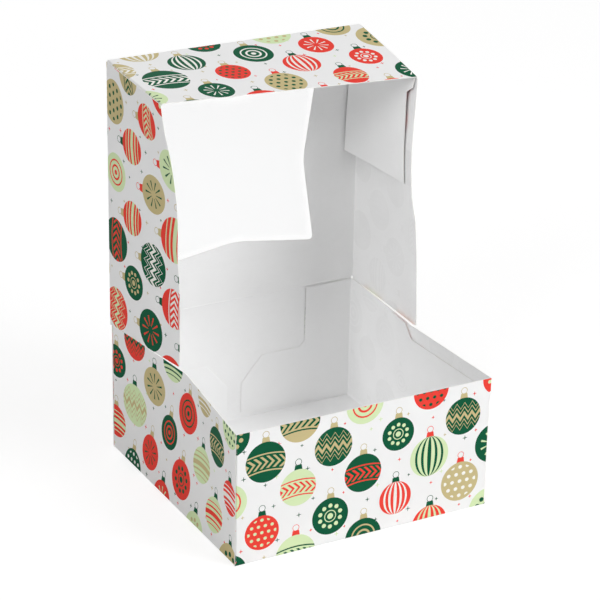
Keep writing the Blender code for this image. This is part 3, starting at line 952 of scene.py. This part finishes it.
def make_cut_edge():
    """The board's cut edge: bright fibrous layers."""
    material, shader, w = new_material("cut_edge", Roughness=0.85, Specular_IOR_Level=0.06)
    place = board_place(w)
    grain = group_node(w, grain_group, Place=place, Strength=1.0)
    layers = w.noise(w.vector("MULTIPLY", place, FLAT), 5.0, 3.0)
    w.feed(shader, Base_Color=w.scale(CUT, w.spread(layers, 0.3, 0.7, 0.94, 1.03)))
    bumped(w, shader, grain["Height"], 0.5, 0.00006)
    return material


def make_clear_film():
    """Thin clear film: nearly all light goes straight through, and faint waves and rubbed streaks carry the
    gloss. It is hardly there where it lies on the board, and a faint veil in the open."""
    material, shader, w = new_material("clear_film", Roughness=0.06, IOR=1.45)
    place = board_place(w)
    streaks = w.noise(w.vector("MULTIPLY", place, (0.02, 0.3, 0.0)), 1.0, 3.0)
    waves = w.noise(w.vector("MULTIPLY", place, FLAT), 0.03, 2.0)
    w.feed(shader, Base_Color=FILM_TINT, Alpha=w.spread(w.parts(place)[2], 0.0, 1.0, 0.004, 0.06),
           Roughness=w.spread(streaks, 0.3, 0.7, 0.05, 0.12))
    bumped(w, shader, waves, 0.3, 0.0003)
    return material


printed = make_printed_face()
white = make_white_face("white_face", backlit_ghost=0.0)
# Print showing through the inside faces, painted as the shade it casts in light shining through the board
# from outside: faint on these panels, stronger on the side walls and lid sides that lamps light from outside
faint_backlit_white = make_white_face("white_face_faint_backlit_print", backlit_ghost=0.012)
backlit_side_white = make_white_face("white_side_backlit_print", backlit_ghost=0.042)
cut = make_cut_edge()
film = make_clear_film()
outside = (printed, faint_backlit_white, cut)
sides = (printed, backlit_side_white, cut)
tabs = (printed, white, cut)

make_floor(outside)
make_front_wall(outside)
make_back_wall(outside)
make_lid_crease(outside)
make_lid_panel(outside)
make_lid_folds(outside)
make_window_pane(film)
make_lid_flap(outside)
for hand in SIDE_NAMES:
    make_side_wall(sides, hand)
    make_front_tab(tabs, hand)
    make_back_tab(tabs, hand)
    make_lid_side(sides, hand)
    make_lid_tab(tabs, hand)


# Table, light and camera

SKY = 0.12  # strength of the light from all round
TABLE_SHADE, TABLE_GLOW = 0.3, 0.78  # how much light the seen table gives back, and how much it glows


def make_table(material):
    """A wide flat plane under the box."""
    reach = 6.0
    corners = [(-reach, -reach, 0), (reach, -reach, 0), (reach, reach, 0), (-reach, reach, 0)]
    mesh = bpy.data.meshes.new("table")
    mesh.from_pydata(corners, [], [(0, 1, 2, 3)])
    mesh.materials.append(material)
    table = add_object("table", mesh)
    table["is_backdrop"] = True


def make_lamp(name, location, aim_height, size, power):
    """A round lamp that shines at the box's upright middle line at that height, all in metres and watts."""
    lamp = bpy.data.lights.new(name, "AREA")
    lamp.shape = "DISK"
    lamp.size = size
    lamp.energy = power
    ahead = Vector((0, 0, aim_height)) - Vector(location)
    turn = ahead.to_track_quat("-Z", "Y")
    add_object(name, lamp).matrix_world = Matrix.LocRotScale(Vector(location), turn, None)


def make_camera(azimuth, elevation, roll, distance, focal, target):
    """Looks at the target from the distance, in millimetres: azimuth turns it to the left, elevation lifts
    it, roll turns its own frame. The focal length is in picture widths."""
    a, e, r = (math.radians(angle) for angle in (azimuth, elevation, roll))
    ahead = Vector((math.sin(a) * math.cos(e), math.cos(a) * math.cos(e), -math.sin(e)))
    level = Vector((math.cos(a), -math.sin(a), 0))
    upward = level.cross(ahead)
    right = level * math.cos(r) + upward * math.sin(r)
    up = upward * math.cos(r) - level * math.sin(r)
    data = bpy.data.cameras.new("camera")
    data.sensor_width = 36
    data.lens = focal * data.sensor_width
    data.clip_end = 30
    camera = add_object("camera", data)
    turn = Matrix((right, up, -ahead)).transposed().to_4x4()
    camera.matrix_world = Matrix.Translation((Vector(target) - ahead * distance) * MM) @ turn
    bpy.context.scene.camera = camera


def show_straight(w, output, light, seen):
    """Joins two shaders to a tree's output: what camera, glossy and transmission rays meet is seen, and what
    all other rays meet is light."""
    path = w.node("LightPath").outputs
    straight = w.math("MAXIMUM", path["Is Camera Ray"], path["Is Glossy Ray"])
    straight = w.math("MAXIMUM", straight, path["Is Transmission Ray"])
    both = w.node("MixShader", straight, light.outputs[0], seen.outputs[0])
    w.feed(w.tree.nodes[output], Surface=both.outputs[0])


def make_table_paper():
    """Pale seamless paper. It is seen lighter than it lights the box, and with the box's shadow."""
    material, shader, w = new_material("table_paper", Base_Color=TABLE_WHITE, Roughness=0.9,
                                       Specular_IOR_Level=0.1)
    glow = w.node("Emission", FULL_WHITE, TABLE_GLOW)
    dim = w.node("BsdfDiffuse", (TABLE_SHADE, TABLE_SHADE, TABLE_SHADE, 1))
    seen = w.node("AddShader", dim.outputs[0], glow.outputs[0])
    show_straight(w, "Material Output", shader, seen)
    return material


def make_world():
    """Even white light all round, seen as a plain white background."""
    world = bpy.data.worlds.new("studio")
    bpy.context.scene.world = world
    world.use_nodes = True
    w = Wiring(world.node_tree)
    light = w.tree.nodes["Background"]
    w.feed(light, Color=FULL_WHITE, Strength=SKY)
    white_sky = w.node("Background", FULL_WHITE, 1.0)
    show_straight(w, "World Output", light, white_sky)


make_table(make_table_paper())
make_world()
make_lamp("key_light", (1.5, -2.1, 2.2), aim_height=0.1, size=1.8, power=57)
make_lamp("low_key_light", (2.0, -2.0, 1.1), aim_height=0.1, size=1.2, power=14)
make_lamp("left_light", (-2.45, -1.4, 1.9), aim_height=0.1, size=1.2, power=31.5)
make_lamp("upper_left_light", (-1.0, -0.6, 3.2), aim_height=0.1, size=1.6, power=15)
make_lamp("back_light", (0.4, 2.6, 1.5), aim_height=0.2, size=1.6, power=19)
make_camera(azimuth=28.80, elevation=23.65, roll=1.15, distance=1726, focal=2402 / 600,
            target=(1.1, 0, 141.2))
bpy.context.scene.view_settings.view_transform = "Standard"

[[list(corner) for corner in box] for box in (cad_box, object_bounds())]
